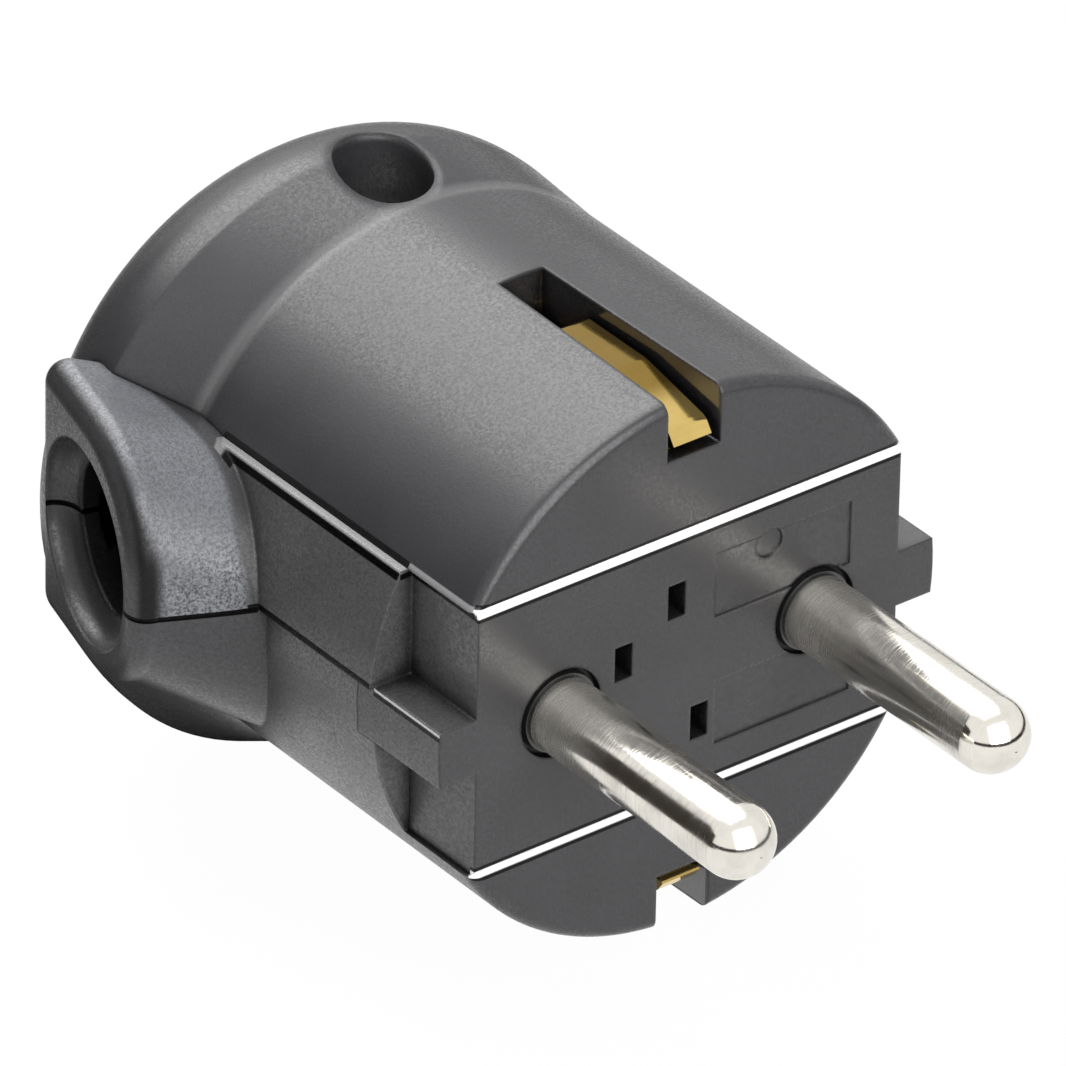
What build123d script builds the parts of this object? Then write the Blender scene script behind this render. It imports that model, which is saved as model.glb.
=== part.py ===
"""Angled Schuko plug with a side cord outlet, built from its separate pieces.

Millimetres. The front face lies in the plane y = 0 and the pins point along -y.
The body runs along +y, z is up, and the cord leaves towards -x.
"""
import os
from math import cos, radians, sin

from build123d import *

os.makedirs("parts", exist_ok=True)

# Round body
BARREL_R = 18.5
BARREL_L = 27.0
FACE_EDGE_R = 0.8
FLARE_L = 4.8
HEAD_RISE = 1.7
HEAD_R = BARREL_R + HEAD_RISE
HEAD_SHIFT = 1.85
RIM_BAND = 0.4
HEAD_ROUND = 8.0
RIM_Y = BARREL_L + FLARE_L
REAR_Y = RIM_Y + RIM_BAND + HEAD_ROUND
WALL = 2.2
FACE_T = 2.4
BIG = 4 * HEAD_R

# Joints between the three mouldings
SEAM_Z = 9.15
PART_Z = 1.8
PANEL_PROUD = 0.42
SEAM_GROOVE = 0.28

# Front guides
FLAT_DEPTH = 2.75
FLAT_X = BARREL_R - FLAT_DEPTH
NOTCH_L = 6.4
RIB_BOTTOM = -2.0

# Contact plate and web of the carrier
PLATE_REAR = 1.6
PLATE_T = NOTCH_L + PLATE_REAR
PLATE_GAP = 0.7
PLATE_BACK_R = BARREL_R - WALL - PLATE_GAP
WEB_HALF = 1.2
PAD_SIDE = 4 * WEB_HALF
FACE_HOLE_W = 1.3
FACE_HOLE_H = 2.4
FACE_HOLE_DEPTH = 4.0
FACE_HOLES = [(-1.0, 4.6), (-4.9, 1.75), (0.9, -4.5)]
FIELD_W = 10.2
FIELD_H = 4.4
FIELD_DEPTH = 0.15
FIELDS = [(7.0, 4.55), (7.2, -4.4)]
EJECTOR_R = 1.0
EJECTOR_AT = (6.0, 6.0)

# Contact pins and their terminals
PIN_PITCH = 19.0
PIN_R = 2.4
PIN_L = 19.0
PIN_SEAT_R = 2.6
RING_GAP = 0.35
RING_DEPTH = 0.6
SHOULDER_R = 3.4
SHOULDER_T = 1.4
SPIGOT_R = 1.8
SPIGOT_SHARE = 0.515
BLOCK_W = 6.6
BLOCK_H = 7.2
WIRE_R = 1.5
BLOCK_EDGE = 0.5

# Earth strip
STRIP_W = 2.8
STRIP_T = 0.8
SLOT_HALF_FRONT = 2.0
SLOT_HALF_REAR = 1.65
SLOT_L = 16.8
SLOT_DEPTH = 4.0
SLOT_FLOOR = BARREL_R - SLOT_DEPTH
SLOT_LINING = 1.4
LINING_T = 1.3
LINING_Z = SLOT_FLOOR - LINING_T
STRIP_GAP = 0.1
WEB_TOP = SLOT_FLOOR - STRIP_GAP
STRIP_END_GAP = 0.4
STRIP_BACK = SLOT_L - STRIP_T - STRIP_END_GAP
STRIP_BEND_R = 0.9
STRIP_SUNK = 1.2
STRIP_Z = BARREL_R - STRIP_SUNK
TIP_Y = 0.75
TIP_FALL = 1.15
LIP_Y = 0.15
LIP_FALL = 0.85
CREST_Y = 6.5
FALL_BACK = 3.2
FALL_Y = STRIP_BACK - FALL_BACK
FALL_L = 1.1
SADDLE_HALF = 1.0
SADDLE_INSET = 0.7
RIVET_R = 1.1
RIVET_L = 2.0
EARTH_L = 6.6
EARTH_FLOOR = 1.5

# Cord outlet
OUTLET_OUT = 5.26
OUTLET_BACK = 1.0
OUTLET_X = -(BARREL_R + OUTLET_OUT)
OUTLET_Y = BARREL_L + OUTLET_BACK
OUTLET_Z = 2.7
OUTLET_TILT = 15.0
COLLAR_R = 8.1
COLLAR_FAR = 7.5
COLLAR_LOW = 8.6
COLLAR_DEPTH = 10.0
COLLAR_RIM_T = 1.6
COLLAR_TOP = 9.0
COLLAR_NEAR_R = 8.0
COLLAR_FAR_R = 1.6
COLLAR_EDGE_R = 1.4
ROOT_R = 9.7
ROOT_TOP = 5.9
ROOT_LOW = 13.7
ROOT_NEAR_R = 9.6
MOUTH_OUT = 1.0
BORE_R = 4.8
BELL_R = 1.7
LIP_L = 4.0
INNER_R = 5.6

# Cord clamp
CLAMP_INSET = 5.3
CLAMP_HALF = 7.4
CLAMP_W = 4.8
CLAMP_GAP = 0.43
LUG_T = 2.6
CORD_R = 3.7
ARCH_T = 1.4

# Screws
TERMINAL_HEAD_R = 2.4
TERMINAL_HEAD_H = 1.8
CLAMP_SCREW_R = 1.4
CLAMP_HEAD_R = 2.2
CLAMP_HEAD_H = 1.7
CLAMP_SCREW_L = 9.0
CLAMP_END_GAP = 1.0
SLOT_CUT_W = 0.8
SLOT_CUT_D = 0.8
HOLE_GAP = 0.15
SCREW_FRONT = 1.5
SCREW_Y = RIM_Y - SCREW_FRONT
SCREW_R = 1.5
SCREW_HEAD_R = 2.8
SCREW_HEAD_H = 2.2
SCREW_HEAD_ROUND = 0.6
CROSS_L = 3.4
CROSS_D = 1.3
RECESS_R = 3.1
RECESS_FLOOR = 12.6
BOSS_R = 4.0
INSERT_R = 2.4
INSERT_L = 6.0

TILT = radians(OUTLET_TILT)
OUTLET_DIR = (-cos(TILT), sin(TILT), 0)
FRONT_DIR = (-sin(TILT), -cos(TILT), 0)
OUTLET = Plane(origin=(OUTLET_X, OUTLET_Y, OUTLET_Z), x_dir=FRONT_DIR, z_dir=OUTLET_DIR)
OUTLET_SIDE = Plane(origin=(OUTLET_X, OUTLET_Y, OUTLET_Z), x_dir=FRONT_DIR, z_dir=(0, 0, 1))
OUTLET_AXIS = Axis((OUTLET_X, OUTLET_Y, OUTLET_Z), OUTLET_DIR)
CLAMP_X = CLAMP_INSET + WALL - BARREL_R
CLAMP_DEPTH = (CLAMP_X - OUTLET_X) / cos(TILT)
CLAMP_Y = OUTLET_Y - CLAMP_DEPTH * sin(TILT)
CLAMP_POINTS = [
    (CLAMP_X - CLAMP_HALF * sin(TILT), CLAMP_Y - CLAMP_HALF * cos(TILT)),
    (CLAMP_X + CLAMP_HALF * sin(TILT), CLAMP_Y + CLAMP_HALF * cos(TILT)),
]
CLAMP_FRONT = CLAMP_Y - CLAMP_HALF * cos(TILT) - CLAMP_W / 2

# The terminals fill the room between the contact plate and the clamp
BLOCK_L = CLAMP_FRONT - CLAMP_GAP - PLATE_T
SPIGOT_L = BLOCK_L * SPIGOT_SHARE
TERMINAL_SCREW_R = (BLOCK_L - SPIGOT_L) / 2 - HOLE_GAP / 2
TERMINAL_Y = PLATE_T + (SPIGOT_L + BLOCK_L) / 2
PIN_X = PIN_PITCH / 2
EIGHTH = radians(45)
HEAD_AXIS = Axis((-HEAD_SHIFT, 0, 0), (0, 1, 0))

# Outer form shared by the upper and lower covers
with BuildPart() as outer_form:
    with BuildSketch(Plane.XY) as barrel_half:
        Rectangle(BARREL_R, BARREL_L, align=(Align.MIN, Align.MIN))
        fillet(barrel_half.vertices().group_by(Axis.Y)[0].sort_by(Axis.X)[-1], FACE_EDGE_R)
    revolve(axis=Axis.Y)
    with BuildSketch(Plane.XZ.offset(-BARREL_L)):
        Circle(BARREL_R)
    with BuildSketch(Plane.XZ.offset(-RIM_Y)):
        with Locations((-HEAD_SHIFT, 0)):
            Circle(HEAD_R)
    loft()
    with BuildSketch(Plane.XY):
        with BuildLine():
            Polyline(
                (-HEAD_SHIFT, REAR_Y),
                (-HEAD_SHIFT, RIM_Y),
                (HEAD_R - HEAD_SHIFT, RIM_Y),
                (HEAD_R - HEAD_SHIFT, RIM_Y + RIM_BAND),
            )
            back = JernArc((HEAD_R - HEAD_SHIFT, RIM_Y + RIM_BAND), (0, 1), HEAD_ROUND, 90)
            Line(back @ 1, (-HEAD_SHIFT, REAR_Y))
        make_face()
    revolve(axis=HEAD_AXIS)

# The same form a little larger, for the side panels of the carrier
with BuildPart() as panel_form:
    with BuildSketch(Plane.XZ):
        Circle(BARREL_R + PANEL_PROUD)
    extrude(amount=-BARREL_L)
    add(outer_form.part)


def inner_form(wall, front):
    """Return the body's form drawn in by a wall, starting at a depth behind the face."""
    edge_x = HEAD_R - wall - HEAD_SHIFT
    slope = HEAD_ROUND - wall
    with BuildPart() as form:
        with BuildSketch(Plane.XZ.offset(-front)):
            Circle(BARREL_R - wall)
        extrude(amount=-(RIM_Y - front))
        with BuildSketch(Plane.XY):
            with BuildLine():
                Polyline(
                    (-HEAD_SHIFT, REAR_Y - wall),
                    (-HEAD_SHIFT, RIM_Y - WALL / 2),
                    (edge_x, RIM_Y - WALL / 2),
                    (edge_x, RIM_Y + RIM_BAND),
                    (edge_x - slope * (1 - cos(EIGHTH)), RIM_Y + RIM_BAND + slope * sin(EIGHTH)),
                    (edge_x - slope, REAR_Y - wall),
                    (-HEAD_SHIFT, REAR_Y - wall),
                )
            make_face()
        revolve(axis=HEAD_AXIS)
    return form.part


# Hollow inside the mouldings, and the form that the bosses end in, halfway into the wall
cavity_form = inner_form(WALL, FACE_T)
boss_form = inner_form(WALL / 2, FACE_T / 2)


def collar_outline(depth, near, top, low, near_r):
    """Return the collar's outline at a depth: large corners towards the face, small ones to the rear."""
    with BuildSketch(OUTLET.offset(-depth)) as outline:
        with Locations(((near - COLLAR_FAR) / 2, (top - low) / 2)):
            Rectangle(near + COLLAR_FAR, top + low)
        fillet(outline.vertices().group_by(Axis.X)[-1], near_r)
        fillet(outline.vertices().group_by(Axis.X)[0], COLLAR_FAR_R)
    return outline.sketch


# Collar of the cord outlet: a rim with a rounded edge, and a wall that sweeps out into the body
with BuildPart() as collar_form:
    extrude(collar_outline(0, COLLAR_R, COLLAR_TOP, COLLAR_LOW, COLLAR_NEAR_R), amount=-COLLAR_RIM_T)
    fillet(collar_form.faces().sort_by(OUTLET_AXIS)[-1].edges(), COLLAR_EDGE_R)
    loft(
        [
            collar_outline(COLLAR_RIM_T, COLLAR_R, COLLAR_TOP, COLLAR_LOW, COLLAR_NEAR_R),
            collar_outline(COLLAR_DEPTH, ROOT_R, ROOT_TOP, ROOT_LOW, ROOT_NEAR_R),
        ]
    )

# Bell mouth and bore of the outlet
with BuildPart() as mouth_form:
    with BuildSketch(OUTLET_SIDE):
        with BuildLine():
            Polyline((0, BELL_R), (0, -MOUTH_OUT), (BORE_R + BELL_R, -MOUTH_OUT), (BORE_R + BELL_R, 0))
            bell = RadiusArc((BORE_R + BELL_R, 0), (BORE_R, BELL_R), -BELL_R)
            Polyline(
                bell @ 1,
                (BORE_R, LIP_L),
                (INNER_R, LIP_L + INNER_R - BORE_R),
                (INNER_R, COLLAR_DEPTH + WALL),
                (0, COLLAR_DEPTH + WALL),
                (0, BELL_R),
            )
        make_face()
    revolve(axis=OUTLET_AXIS)

# Fine groove along the two joints on the face
with BuildPart() as seam_groove:
    with BuildSketch(Plane.YZ.offset(-BIG / 2)):
        with Locations((0, SEAM_Z), (0, -SEAM_Z)):
            Polygon((-SEAM_GROOVE, 0), (0, -SEAM_GROOVE), (SEAM_GROOVE, 0), (0, SEAM_GROOVE), align=None)
    extrude(amount=BIG)

# Upper cover
with BuildPart() as upper_fittings:
    with BuildSketch(Plane.XY.offset(PART_Z)):
        with Locations((0, SCREW_Y)):
            Circle(BOSS_R)
    extrude(amount=BIG)
    with BuildSketch(Plane.XY.offset(LINING_Z)):
        with Locations((0, FACE_T / 2)):
            Rectangle(
                2 * (SLOT_HALF_FRONT + SLOT_LINING),
                SLOT_L + SLOT_LINING - FACE_T / 2,
                align=(Align.CENTER, Align.MIN),
            )
    extrude(amount=BIG)
    add(boss_form, mode=Mode.INTERSECT)

with BuildPart() as upper_cover:
    add(outer_form.part)
    with BuildSketch(Plane.XY.offset(SEAM_Z)):
        Rectangle(2 * BIG, 2 * BIG)
    extrude(amount=BIG, mode=Mode.INTERSECT)
    add(collar_form.part, mode=Mode.SUBTRACT)
    add(cavity_form, mode=Mode.SUBTRACT)
    add(upper_fittings.part)
    with BuildSketch(Plane.XY.offset(SLOT_FLOOR)):
        Polygon(
            (-SLOT_HALF_FRONT, -FACE_EDGE_R),
            (SLOT_HALF_FRONT, -FACE_EDGE_R),
            (SLOT_HALF_REAR, SLOT_L),
            (-SLOT_HALF_REAR, SLOT_L),
            align=None,
        )
    extrude(amount=BIG, mode=Mode.SUBTRACT)
    with BuildSketch(Plane.XY.offset(LINING_Z - STRIP_GAP)):
        Polygon(
            (-SLOT_HALF_REAR, FACE_T),
            (SLOT_HALF_REAR, FACE_T),
            (SLOT_HALF_REAR, SLOT_L),
            (-SLOT_HALF_REAR, SLOT_L),
            align=None,
        )
    extrude(amount=LINING_T + STRIP_GAP, mode=Mode.SUBTRACT)
    with BuildSketch(Plane.XY.offset(RECESS_FLOOR)):
        with Locations((0, SCREW_Y)):
            Circle(RECESS_R)
    extrude(amount=BIG, mode=Mode.SUBTRACT)
    with BuildSketch(Plane.XY):
        with Locations((0, SCREW_Y)):
            Circle(SCREW_R + HOLE_GAP)
    extrude(amount=RECESS_FLOOR, mode=Mode.SUBTRACT)
    add(seam_groove.part, mode=Mode.SUBTRACT)
upper_cover.part.label = "upper_cover"
export_step(upper_cover.part, "parts/upper_cover.step")

# Contact carrier: face plate with a guide rib each side, web, side panels and the upper part of the collar
with BuildPart() as collar_top:
    add(collar_form.part)
    with BuildSketch(Plane.XY.offset(PART_Z)):
        Rectangle(2 * BIG, 2 * BIG)
    extrude(amount=BIG, mode=Mode.INTERSECT)

with BuildPart() as face_plate:
    with BuildSketch(Plane.XZ):
        Circle(BARREL_R)
        Rectangle(2 * FLAT_X, 2 * SEAM_Z, mode=Mode.INTERSECT)
    extrude(amount=-NOTCH_L)
    with BuildSketch(Plane.XZ):
        Circle(BARREL_R)
        with Locations((0, PART_Z)):
            Rectangle(2 * BIG, PART_Z - RIB_BOTTOM, align=(Align.CENTER, Align.MAX), mode=Mode.INTERSECT)
    extrude(amount=-PLATE_T)
    add(seam_groove.part, mode=Mode.SUBTRACT)

with BuildPart() as contact_carrier:
    add(panel_form.part)
    with BuildSketch(Plane.XY.offset(PART_Z)):
        Rectangle(2 * BIG, 2 * BIG)
    extrude(amount=SEAM_Z - PART_Z, mode=Mode.INTERSECT)
    add(collar_top.part)
    add(cavity_form, mode=Mode.SUBTRACT)
    add(mouth_form.part, mode=Mode.SUBTRACT)
    with BuildSketch(Plane.XZ):
        Rectangle(2 * BIG, 2 * BIG)
    extrude(amount=-NOTCH_L, mode=Mode.SUBTRACT)
    add(face_plate.part)
    with BuildSketch(Plane.XZ.offset(-NOTCH_L)):
        Circle(PLATE_BACK_R)
        Rectangle(2 * BIG, 2 * SEAM_Z, mode=Mode.INTERSECT)
    extrude(amount=-(PLATE_T - NOTCH_L))
    with BuildSketch(Plane.XZ.offset(-NOTCH_L)):
        Circle(BARREL_R)
        with Locations((0, PART_Z)):
            Rectangle(2 * BIG, SEAM_Z - PART_Z, align=(Align.CENTER, Align.MIN), mode=Mode.INTERSECT)
    extrude(amount=-(PLATE_T - NOTCH_L))
    with BuildSketch(Plane.XZ.offset(-FACE_T - HOLE_GAP)):
        Rectangle(2 * WEB_HALF, 2 * (WEB_TOP - STRIP_GAP))
    extrude(amount=-(STRIP_BACK - FACE_T - HOLE_GAP))
    with BuildSketch(Plane.XZ.offset(-NOTCH_L)):
        Rectangle(PAD_SIDE, PAD_SIDE)
    extrude(amount=-(STRIP_BACK - NOTCH_L))
    with BuildSketch(Plane.XZ.offset(-CREST_Y - SADDLE_INSET)):
        Rectangle(2 * SADDLE_HALF, 2 * (STRIP_Z - STRIP_T - STRIP_GAP))
    extrude(amount=-(FALL_Y - CREST_Y - 2 * SADDLE_INSET))
    with BuildSketch(Plane.XZ):
        with Locations((-PIN_X, 0), (PIN_X, 0)):
            Circle(PIN_SEAT_R)
    extrude(amount=-PLATE_T, mode=Mode.SUBTRACT)
    with BuildSketch(Plane.XZ):
        with Locations((-PIN_X, 0), (PIN_X, 0)):
            Circle(PIN_SEAT_R + RING_GAP)
    extrude(amount=-RING_DEPTH, mode=Mode.SUBTRACT)
    with BuildSketch(Plane.XZ.offset(-PLATE_T)):
        with Locations((-PIN_X, 0), (PIN_X, 0)):
            Circle(SHOULDER_R)
    extrude(amount=SHOULDER_T, mode=Mode.SUBTRACT)
    with BuildSketch(Plane.XZ):
        with Locations(*FACE_HOLES):
            Rectangle(FACE_HOLE_W, FACE_HOLE_H)
    extrude(amount=-FACE_HOLE_DEPTH, mode=Mode.SUBTRACT)
    with BuildSketch(Plane.XZ):
        with Locations(*FIELDS):
            Rectangle(FIELD_W, FIELD_H)
    extrude(amount=-FIELD_DEPTH, mode=Mode.SUBTRACT)
    with BuildSketch(Plane.XZ):
        with Locations(EJECTOR_AT):
            Circle(EJECTOR_R)
    extrude(amount=-2 * FIELD_DEPTH, mode=Mode.SUBTRACT)
    with BuildSketch(Plane.XZ.offset(-STRIP_BACK)):
        Circle(RIVET_R)
    extrude(amount=RIVET_L, mode=Mode.SUBTRACT)
contact_carrier.part.label = "contact_carrier"
export_step(contact_carrier.part, "parts/contact_carrier.step")

# Lower cover
with BuildPart() as collar_low:
    add(collar_form.part)
    with BuildSketch(Plane.XY.offset(PART_Z)):
        Rectangle(2 * BIG, 2 * BIG)
    extrude(amount=-BIG, mode=Mode.INTERSECT)

with BuildPart() as lower_fittings:
    with BuildSketch(Plane.XY.offset(PART_Z)):
        with Locations((0, SCREW_Y)):
            Circle(BOSS_R)
        with Locations(Location((CLAMP_X, CLAMP_Y, 0), (0, 0, 90 - OUTLET_TILT))):
            SlotCenterToCenter(2 * CLAMP_HALF, CLAMP_W)
    extrude(amount=-BIG)
    with BuildSketch(Plane.XY.offset(-LINING_Z)):
        with Locations((0, FACE_T / 2)):
            Rectangle(
                2 * (SLOT_HALF_FRONT + SLOT_LINING),
                SLOT_L + SLOT_LINING - FACE_T / 2,
                align=(Align.CENTER, Align.MIN),
            )
    extrude(amount=-BIG)
    add(boss_form, mode=Mode.INTERSECT)

with BuildPart() as lower_cover:
    add(outer_form.part)
    with BuildSketch(Plane.XY.offset(PART_Z)):
        Rectangle(2 * BIG, 2 * BIG)
    extrude(amount=-BIG, mode=Mode.INTERSECT)
    add(collar_low.part)
    add(cavity_form, mode=Mode.SUBTRACT)
    with BuildSketch(Plane.XZ):
        with Locations((0, -SEAM_Z)):
            Rectangle(2 * BIG, BIG, align=(Align.CENTER, Align.MIN))
    extrude(amount=-NOTCH_L, mode=Mode.SUBTRACT)
    with BuildSketch(Plane.XZ.offset(-NOTCH_L)):
        with Locations((0, PART_Z)):
            Rectangle(2 * BIG, PART_Z - RIB_BOTTOM, align=(Align.CENTER, Align.MAX))
    extrude(amount=-PLATE_REAR, mode=Mode.SUBTRACT)
    add(lower_fittings.part)
    add(mouth_form.part, mode=Mode.SUBTRACT)
    with BuildSketch(OUTLET.offset(-CLAMP_DEPTH - CLAMP_W)):
        Circle(CORD_R)
    extrude(amount=2 * CLAMP_W, mode=Mode.SUBTRACT)
    with BuildSketch(Plane.XY.offset(-SLOT_FLOOR)):
        Polygon(
            (-SLOT_HALF_FRONT, -FACE_EDGE_R),
            (SLOT_HALF_FRONT, -FACE_EDGE_R),
            (SLOT_HALF_REAR, SLOT_L),
            (-SLOT_HALF_REAR, SLOT_L),
            align=None,
        )
    extrude(amount=-BIG, mode=Mode.SUBTRACT)
    with BuildSketch(Plane.XY.offset(STRIP_GAP - LINING_Z)):
        Polygon(
            (-SLOT_HALF_REAR, FACE_T),
            (SLOT_HALF_REAR, FACE_T),
            (SLOT_HALF_REAR, SLOT_L),
            (-SLOT_HALF_REAR, SLOT_L),
            align=None,
        )
    extrude(amount=-LINING_T - STRIP_GAP, mode=Mode.SUBTRACT)
    with BuildSketch(Plane.XY.offset(PART_Z)):
        with Locations(*CLAMP_POINTS):
            Circle(CLAMP_SCREW_R)
    extrude(amount=-CLAMP_SCREW_L, mode=Mode.SUBTRACT)
    with BuildSketch(Plane.XY.offset(PART_Z)):
        with Locations((0, SCREW_Y)):
            Circle(INSERT_R)
    extrude(amount=-INSERT_L, mode=Mode.SUBTRACT)
    with BuildSketch(Plane.XY.offset(PART_Z)):
        with Locations((0, SCREW_Y)):
            Circle(SCREW_R + HOLE_GAP)
    extrude(amount=-2 * INSERT_L, mode=Mode.SUBTRACT)
    add(seam_groove.part, mode=Mode.SUBTRACT)
lower_cover.part.label = "lower_cover"
export_step(lower_cover.part, "parts/lower_cover.step")

# Contact pins with a seat and a shoulder in the plate, and a riveting spigot
with BuildPart() as pin_left:
    with BuildSketch(Plane.XY):
        with BuildLine():
            Line((0, PLATE_T + SPIGOT_L), (0, -PIN_L))
            tip = JernArc((0, -PIN_L), (1, 0), PIN_R, 90)
            Polyline(
                tip @ 1,
                (PIN_R, 0),
                (PIN_SEAT_R, 0),
                (PIN_SEAT_R, PLATE_T - SHOULDER_T),
                (SHOULDER_R, PLATE_T - SHOULDER_T),
                (SHOULDER_R, PLATE_T),
                (SPIGOT_R, PLATE_T),
                (SPIGOT_R, PLATE_T + SPIGOT_L),
                (0, PLATE_T + SPIGOT_L),
            )
        make_face()
    revolve(axis=Axis.Y)
pin_left.part.locate(Location((-PIN_X, 0, 0)))
pin_left.part.label = "pin_left"
export_step(pin_left.part, "parts/pin_left.step")

with BuildPart() as pin_right:
    add(pin_left.part.moved(Location((PIN_PITCH, 0, 0))))
pin_right.part.label = "pin_right"
export_step(pin_right.part, "parts/pin_right.step")

# Pillar terminals on the pin tails
with BuildPart() as terminal_left:
    with BuildSketch(Plane.XZ.offset(-PLATE_T)):
        with Locations((-PIN_X, 0)):
            Rectangle(BLOCK_W, BLOCK_H)
    extrude(amount=-BLOCK_L)
    chamfer(terminal_left.edges().filter_by(Axis.Y), BLOCK_EDGE)
    with BuildSketch(Plane.XZ.offset(-PLATE_T)):
        with Locations((-PIN_X, 0)):
            Circle(SPIGOT_R)
    extrude(amount=-SPIGOT_L, mode=Mode.SUBTRACT)
    with BuildSketch(Plane.XZ.offset(-PLATE_T)):
        with Locations((-PIN_X, 0)):
            Circle(WIRE_R)
    extrude(amount=-BLOCK_L, mode=Mode.SUBTRACT)
    with BuildSketch(Plane.XY):
        with Locations((-PIN_X, TERMINAL_Y)):
            Circle(TERMINAL_SCREW_R)
    extrude(amount=BLOCK_H, mode=Mode.SUBTRACT)
terminal_left.part.label = "terminal_left"
export_step(terminal_left.part, "parts/terminal_left.step")

with BuildPart() as terminal_right:
    add(terminal_left.part.moved(Location((PIN_PITCH, 0, 0))))
terminal_right.part.label = "terminal_right"
export_step(terminal_right.part, "parts/terminal_right.step")

# Clamping screws of the terminals
with BuildPart() as terminal_screw_left:
    with BuildSketch(Plane.XY):
        with Locations((-PIN_X, TERMINAL_Y)):
            Circle(TERMINAL_SCREW_R)
    extrude(amount=BLOCK_H / 2)
    with BuildSketch(Plane.XY.offset(BLOCK_H / 2)):
        with Locations((-PIN_X, TERMINAL_Y)):
            Circle(TERMINAL_HEAD_R)
    extrude(amount=TERMINAL_HEAD_H)
    with BuildSketch(Plane.XY.offset(BLOCK_H / 2 + TERMINAL_HEAD_H)):
        with Locations((-PIN_X, TERMINAL_Y)):
            Rectangle(2 * BLOCK_W, SLOT_CUT_W)
    extrude(amount=-SLOT_CUT_D, mode=Mode.SUBTRACT)
terminal_screw_left.part.label = "terminal_screw_left"
export_step(terminal_screw_left.part, "parts/terminal_screw_left.step")

with BuildPart() as terminal_screw_right:
    add(terminal_screw_left.part.moved(Location((PIN_PITCH, 0, 0))))
terminal_screw_right.part.label = "terminal_screw_right"
export_step(terminal_screw_right.part, "parts/terminal_screw_right.step")

# Earth strip: one bent brass strip round the web, with a turned-down tip in each slot
STRIP_TOP = [
    (LIP_Y, STRIP_Z - TIP_FALL - LIP_FALL),
    (TIP_Y, STRIP_Z - TIP_FALL),
    (CREST_Y, STRIP_Z),
    (FALL_Y, STRIP_Z),
    (FALL_Y + FALL_L, WEB_TOP + STRIP_T),
    (STRIP_BACK + STRIP_T, WEB_TOP + STRIP_T),
    (STRIP_BACK + STRIP_T, 0),
]
with BuildPart() as earth_strap:
    with BuildSketch(Plane.YZ.offset(-STRIP_W / 2)):
        with BuildLine():
            FilletPolyline(*STRIP_TOP, radius=STRIP_BEND_R)
            offset(amount=STRIP_T, side=Side.RIGHT)
        make_face()
    extrude(amount=STRIP_W)
    mirror(about=Plane.XY)
    with BuildSketch(Plane.XZ.offset(-STRIP_BACK)):
        Circle(RIVET_R)
    extrude(amount=-2 * STRIP_T, mode=Mode.SUBTRACT)
earth_strap.part.label = "earth_strap"
export_step(earth_strap.part, "parts/earth_strap.step")

# Earth terminal with its rivet through the strip
EARTH_Y = STRIP_BACK + STRIP_T
EARTH_SCREW_Y = EARTH_Y + (EARTH_FLOOR + EARTH_L) / 2
with BuildPart() as earth_terminal:
    with BuildSketch(Plane.XZ.offset(-EARTH_Y)):
        Rectangle(BLOCK_W, BLOCK_H)
    extrude(amount=-EARTH_L)
    chamfer(earth_terminal.edges().filter_by(Axis.Y), BLOCK_EDGE)
    with BuildSketch(Plane.XZ.offset(-EARTH_Y)):
        Circle(RIVET_R)
    extrude(amount=STRIP_T + RIVET_L)
    with BuildSketch(Plane.XZ.offset(-EARTH_Y - EARTH_L)):
        Circle(WIRE_R)
    extrude(amount=EARTH_L - EARTH_FLOOR, mode=Mode.SUBTRACT)
    with BuildSketch(Plane.XY):
        with Locations((0, EARTH_SCREW_Y)):
            Circle(TERMINAL_SCREW_R)
    extrude(amount=BLOCK_H, mode=Mode.SUBTRACT)
earth_terminal.part.label = "earth_terminal"
export_step(earth_terminal.part, "parts/earth_terminal.step")

with BuildPart() as earth_screw:
    with BuildSketch(Plane.XY):
        with Locations((0, EARTH_SCREW_Y)):
            Circle(TERMINAL_SCREW_R)
    extrude(amount=BLOCK_H / 2)
    with BuildSketch(Plane.XY.offset(BLOCK_H / 2)):
        with Locations((0, EARTH_SCREW_Y)):
            Circle(TERMINAL_HEAD_R)
    extrude(amount=TERMINAL_HEAD_H)
    with BuildSketch(Plane.XY.offset(BLOCK_H / 2 + TERMINAL_HEAD_H)):
        with Locations((0, EARTH_SCREW_Y)):
            Rectangle(2 * BLOCK_W, SLOT_CUT_W)
    extrude(amount=-SLOT_CUT_D, mode=Mode.SUBTRACT)
earth_screw.part.label = "earth_screw"
export_step(earth_screw.part, "parts/earth_screw.step")

# Cord clamp: arched bar over the cord
with BuildPart() as cord_clamp:
    with BuildSketch(OUTLET.offset(-CLAMP_DEPTH - CLAMP_W / 2)):
        Circle(CORD_R + ARCH_T)
    extrude(amount=CLAMP_W)
    with BuildSketch(Plane.XY.offset(PART_Z)):
        with Locations(Location((CLAMP_X, CLAMP_Y, 0), (0, 0, 90 - OUTLET_TILT))):
            SlotCenterToCenter(2 * CLAMP_HALF, CLAMP_W)
    extrude(amount=LUG_T)
    with BuildSketch(Plane.XY.offset(PART_Z)):
        Rectangle(2 * BIG, 2 * BIG)
    extrude(amount=BIG, mode=Mode.INTERSECT)
    with BuildSketch(OUTLET.offset(-CLAMP_DEPTH - CLAMP_W)):
        Circle(CORD_R)
    extrude(amount=2 * CLAMP_W, mode=Mode.SUBTRACT)
    with BuildSketch(Plane.XY.offset(PART_Z)):
        with Locations(*CLAMP_POINTS):
            Circle(CLAMP_SCREW_R + HOLE_GAP)
    extrude(amount=LUG_T, mode=Mode.SUBTRACT)
cord_clamp.part.label = "cord_clamp"
export_step(cord_clamp.part, "parts/cord_clamp.step")

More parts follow.
